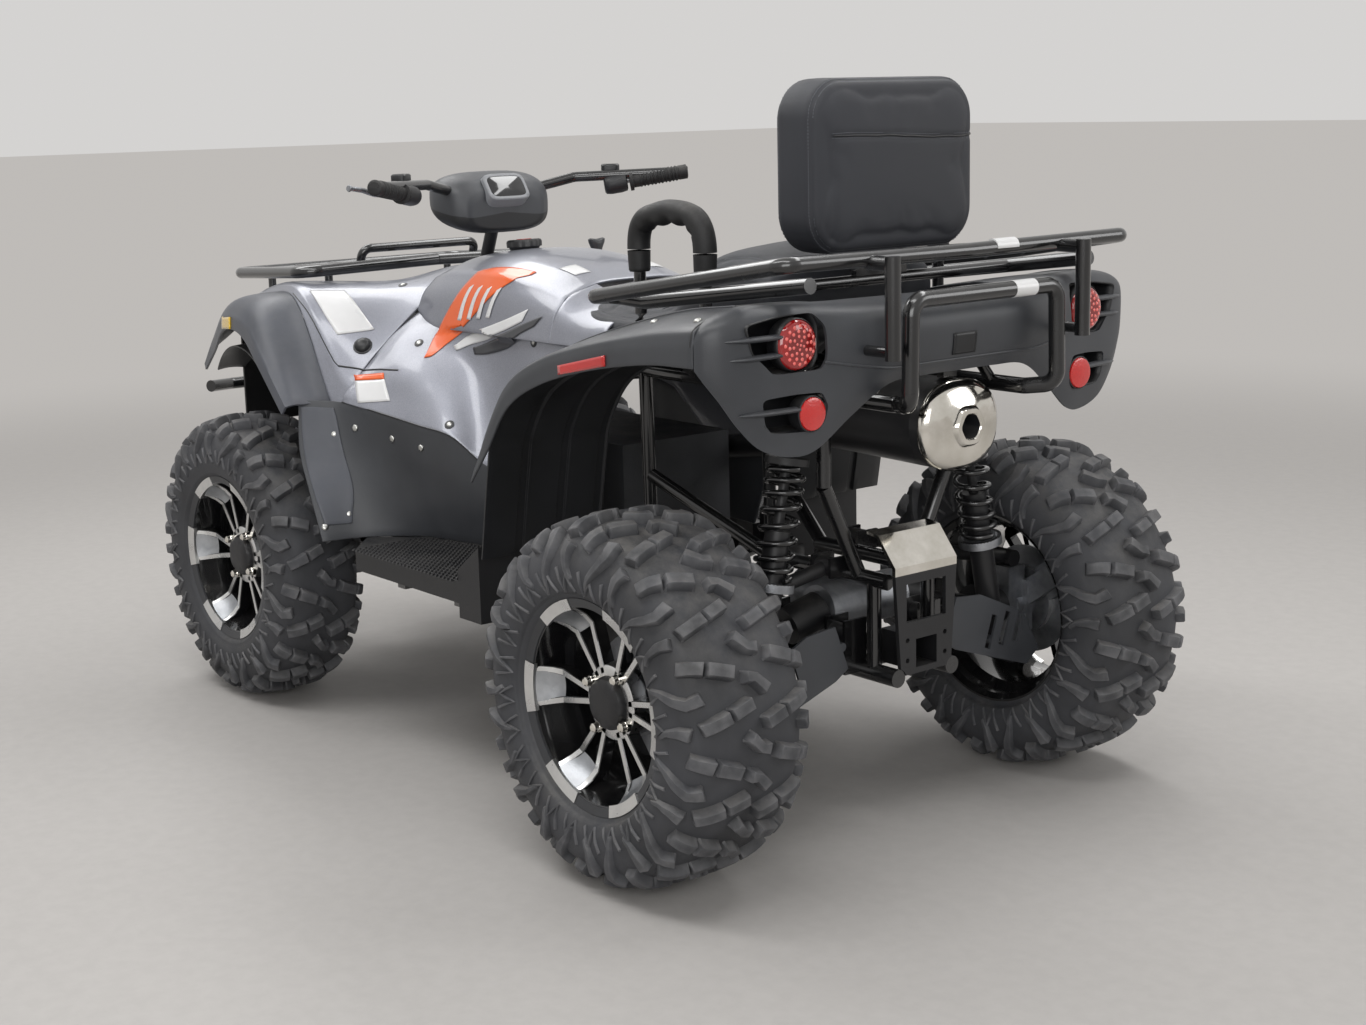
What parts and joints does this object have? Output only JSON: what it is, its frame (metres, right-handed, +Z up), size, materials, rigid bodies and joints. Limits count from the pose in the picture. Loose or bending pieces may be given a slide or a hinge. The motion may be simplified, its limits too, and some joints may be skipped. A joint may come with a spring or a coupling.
{
  "type": "four-wheel straddle quad",
  "caption": "Two-up four-wheel quad with straddle seat, backrest, racks, arched fenders and lugged tyres; front wheels steer from the handlebar and all wheels roll.",
  "frame": {"origin": "on the ground, under the middle of the whole vehicle's outline", "axes": "+X forward, +Y to the rider's left, +Z up"},
  "size_m": [2.297, 1.22, 1.33],
  "materials": {
    "black_tube": "gloss black powder coat",
    "cast_metal": "as-cast, satin",
    "boot_rubber": "matt",
    "black_plastic": "moulded, satin",
    "grey_plastic": "fine-grained moulded, satin",
    "silver_paint": "metallic silver-grey, clear coat",
    "seat_cover": "charcoal grained vinyl",
    "clear_lens": "clear",
    "red_lens": "moulded lens",
    "bright_chrome": "polished",
    "tyre_rubber": "moulded tread",
    "wheel_alloy": "machined faces on gloss black"
  },
  "bodies": {
    "root": {"frame": "black_tube", "skid_plate": "black_plastic", "engine_block": "cast_metal", "gearcases": "cast_metal", "half_shafts": "boot_rubber", "rear_arms": "black_tube", "front_arms": "black_tube", "arm_guards": "black_plastic", "rear_knuckles": "cast_metal", "shock_bodies": "cast_metal", "shock_springs": "black_tube", "front_fairing": "silver_paint", "front_flares": "grey_plastic", "front_fascia": "grey_plastic", "headlamps": "clear_lens", "tank_cover": "silver_paint", "side_panels": "silver_paint", "footwells": "grey_plastic", "footboards": "grey_plastic", "rear_fenders": "grey_plastic", "rear_liners": "black_plastic", "rear_fascia": "grey_plastic", "seat": "seat_cover", "backrest": "seat_cover", "grab_handles": "boot_rubber", "rear_rack": "black_tube", "front_rack": "black_tube", "rear_bumper": "black_tube", "front_bumper": "black_tube", "muffler": "black_tube", "muffler_cap": "bright_chrome", "hitch_bracket": "black_tube", "hitch_cover": "bright_chrome", "tail_lamps": "red_lens", "fuel_cap": "black_plastic", "gear_lever": "black_plastic"},
    "steering": {"steering_column": "black_tube", "handlebar": "black_tube", "grips": "boot_rubber", "instrument_pod": "black_plastic"},
    "tie_rod_l": {"tie_rod_left": "black_tube"},
    "tie_rod_r": {"tie_rod_right": "black_tube"},
    "knuckle_fl": {"front_knuckle_left": "cast_metal"},
    "knuckle_fr": {"front_knuckle_right": "cast_metal"},
    "wheel_rl": {"tyre_rear_left": "tyre_rubber", "rim_rear_left": "wheel_alloy"},
    "wheel_rr": {"tyre_rear_right": "tyre_rubber", "rim_rear_right": "wheel_alloy"},
    "wheel_fl": {"tyre_front_left": "tyre_rubber", "rim_front_left": "wheel_alloy"},
    "wheel_fr": {"tyre_front_right": "tyre_rubber", "rim_front_right": "wheel_alloy"}
  },
  "joints": [
    {"name": "steering_turn", "type": "hinge", "parent": "root", "child": "steering", "pos_m": [0.6, 0, 0.4], "axis": [-0.3987, 0, 0.9171], "range_deg": [-38, 38]},
    {"name": "kingpin_l", "type": "hinge", "parent": "root", "child": "knuckle_fl", "pos_m": [0.69, 0.345, 0.317], "axis": [0, 0, 1], "range_deg": [-29, 29]},
    {"name": "kingpin_r", "type": "hinge", "parent": "root", "child": "knuckle_fr", "pos_m": [0.69, -0.345, 0.317], "axis": [0, 0, 1], "range_deg": [-29, 29]},
    {"name": "tie_rod_pin_l", "type": "hinge", "parent": "steering", "child": "tie_rod_l", "pos_m": [0.51746, 0.03, 0.36411], "axis": [-0.3987, 0, 0.9171], "range_deg": [-44.5, 44.5]},
    {"name": "tie_rod_pin_r", "type": "hinge", "parent": "steering", "child": "tie_rod_r", "pos_m": [0.51746, -0.03, 0.36411], "axis": [-0.3987, 0, 0.9171], "range_deg": [-44.5, 44.5]},
    {"name": "wheel_spin_rl", "type": "hinge", "parent": "root", "child": "wheel_rl", "pos_m": [-0.79, 0.48, 0.317], "axis": [0, 1, 0], "continuous": true},
    {"name": "wheel_spin_rr", "type": "hinge", "parent": "root", "child": "wheel_rr", "pos_m": [-0.79, -0.48, 0.317], "axis": [0, 1, 0], "continuous": true},
    {"name": "wheel_spin_fl", "type": "hinge", "parent": "knuckle_fl", "child": "wheel_fl", "pos_m": [0.69, 0.42, 0.317], "axis": [0, 1, 0], "continuous": true},
    {"name": "wheel_spin_fr", "type": "hinge", "parent": "knuckle_fr", "child": "wheel_fr", "pos_m": [0.69, -0.42, 0.317], "axis": [0, 1, 0], "continuous": true}
  ],
  "couplings": [
    {"joint": "kingpin_l", "follows": "steering_turn", "ratio": 0.75},
    {"joint": "kingpin_r", "follows": "steering_turn", "ratio": 0.75},
    {"joint": "tie_rod_pin_l", "follows": "steering_turn", "ratio": -1.15},
    {"joint": "tie_rod_pin_r", "follows": "steering_turn", "ratio": -1.15}
  ]
}
